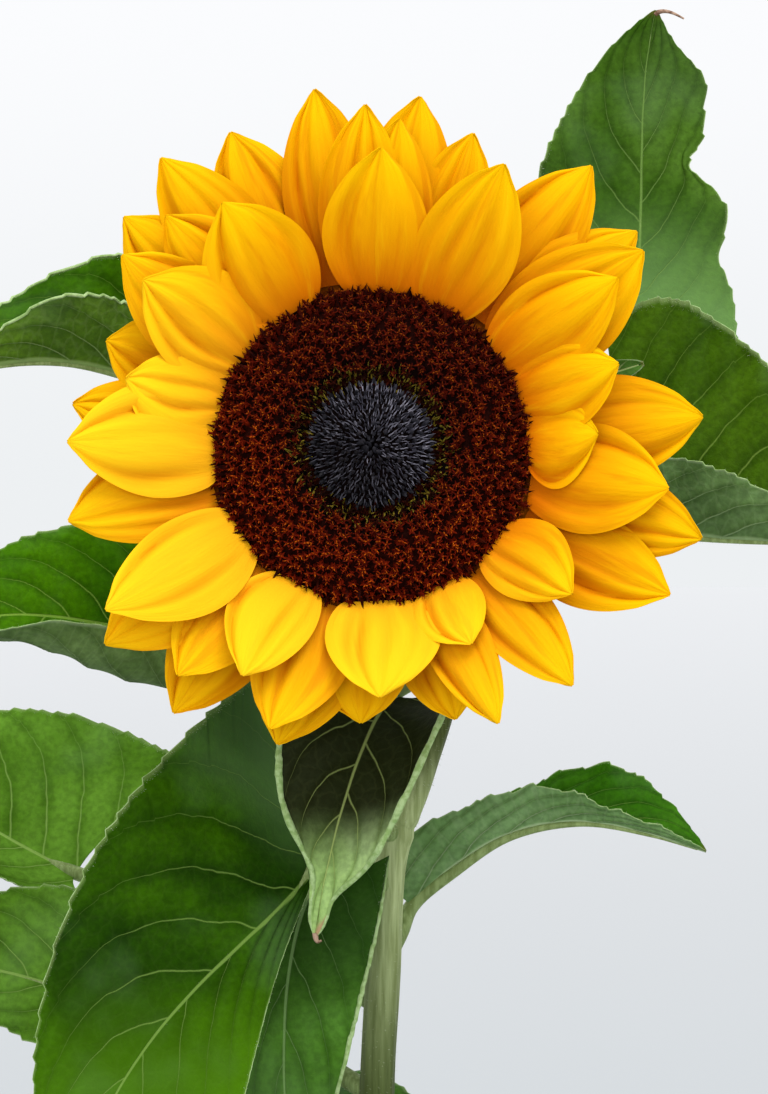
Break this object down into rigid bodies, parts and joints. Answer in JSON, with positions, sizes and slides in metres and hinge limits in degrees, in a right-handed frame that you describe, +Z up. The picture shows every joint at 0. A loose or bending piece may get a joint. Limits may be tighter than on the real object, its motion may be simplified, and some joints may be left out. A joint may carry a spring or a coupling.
{
  "type": "sunflower plant",
  "caption": "Dwarf sunflower in bloom: one flower head on a hairy stem with broad heart-shaped leaves, rooted in the ground.",
  "frame": {"origin": "middle of the flat cut under the stem, at ground level", "axes": "+Z up along the stem, the flower faces -Y"},
  "size_m": [0.2706, 0.24, 0.5184],
  "materials": {
    "stem": "matte",
    "bracts": "matte",
    "rays": "satin",
    "disc": "matte",
    "disc_buds": "matte",
    "leaves": "satin"
  },
  "bodies": {
    "root": {"stem": "stem", "neck": "stem", "receptacle": "bracts", "rays_front": "rays", "rays_middle": "rays", "rays_back": "rays", "disc_florets": "disc", "disc_centre": "disc_buds", "leaf_upper_right": "leaves", "leaf_right": "leaves", "leaf_upper_left": "leaves", "leaf_middle_left": "leaves", "leaf_collar": "leaves", "leaf_front_left": "leaves", "leaf_hanging": "leaves", "leaf_lower_right": "leaves", "leaf_back_left": "leaves", "leaf_low_left": "leaves", "leaf_back_high": "leaves", "leaf_stem_right": "leaves", "leaf_back_middle": "leaves", "leaf_stem_left": "leaves", "leaf_stem_front": "leaves", "leaf_stem_back_right": "leaves", "leaf_low_back": "leaves", "leaf_low_front": "leaves", "leaf_low_right": "leaves"}
  },
  "joints": []
}
